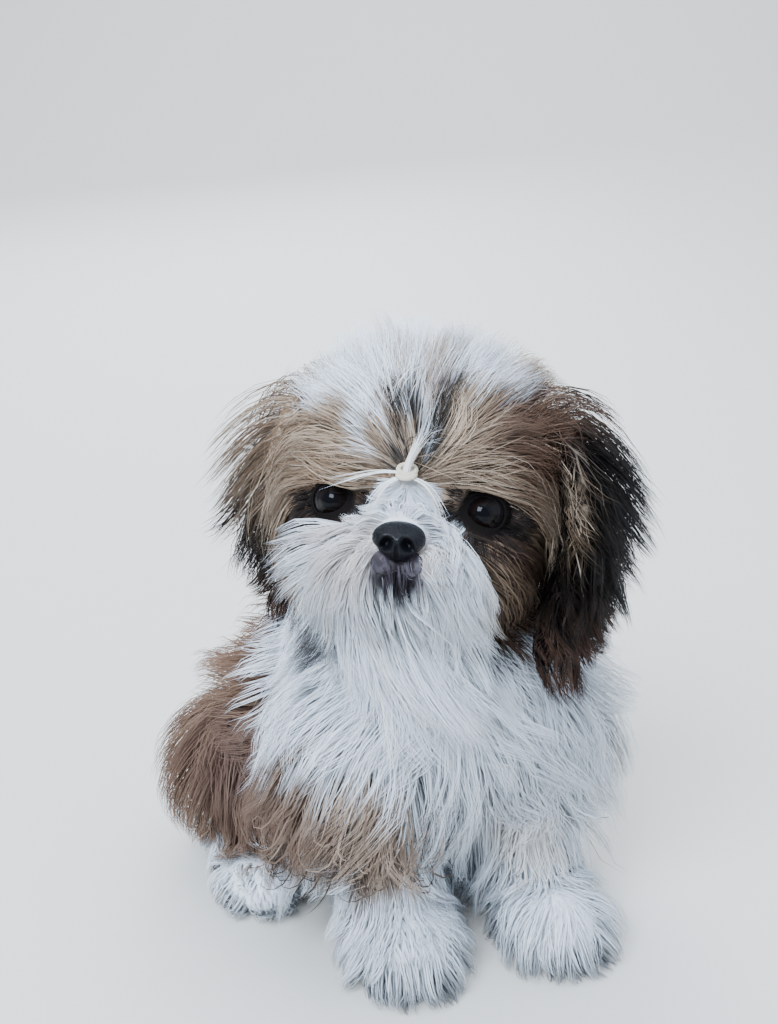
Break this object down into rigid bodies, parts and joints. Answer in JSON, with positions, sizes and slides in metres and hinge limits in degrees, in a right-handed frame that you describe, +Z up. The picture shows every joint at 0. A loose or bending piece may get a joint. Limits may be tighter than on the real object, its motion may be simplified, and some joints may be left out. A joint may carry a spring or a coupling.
{
  "type": "shih tzu puppy",
  "caption": "Life-size still model of a sitting shih tzu puppy that looks up, in a long brown and white coat, with a band round the tuft on its forehead.",
  "frame": {"origin": "on the floor, under the middle of the dog's bounding box", "axes": "+Z up; the body faces -Y, its left side is towards +X"},
  "size_m": [0.1918, 0.2468, 0.2516],
  "materials": {
    "coat_white": "long soft white hair",
    "coat_brown": "long soft chestnut hair with paler ends",
    "coat_dark": "long soft brown-black hair",
    "eye": "wet, near black",
    "nose": "moist, finely pebbled, black",
    "hair_tie": "cream elastic, satin"
  },
  "bodies": {
    "root": {"eye_left": "eye", "eye_right": "eye", "nose": "nose", "hair_tie": "hair_tie", "head": "coat_white", "ear_left": "coat_dark", "ear_right": "coat_dark", "torso": "coat_brown", "neck": "coat_white", "foreleg_left": "coat_white", "foreleg_right": "coat_white", "hindleg_left": "coat_brown", "hindleg_right": "coat_brown", "tail": "coat_brown"}
  },
  "joints": []
}
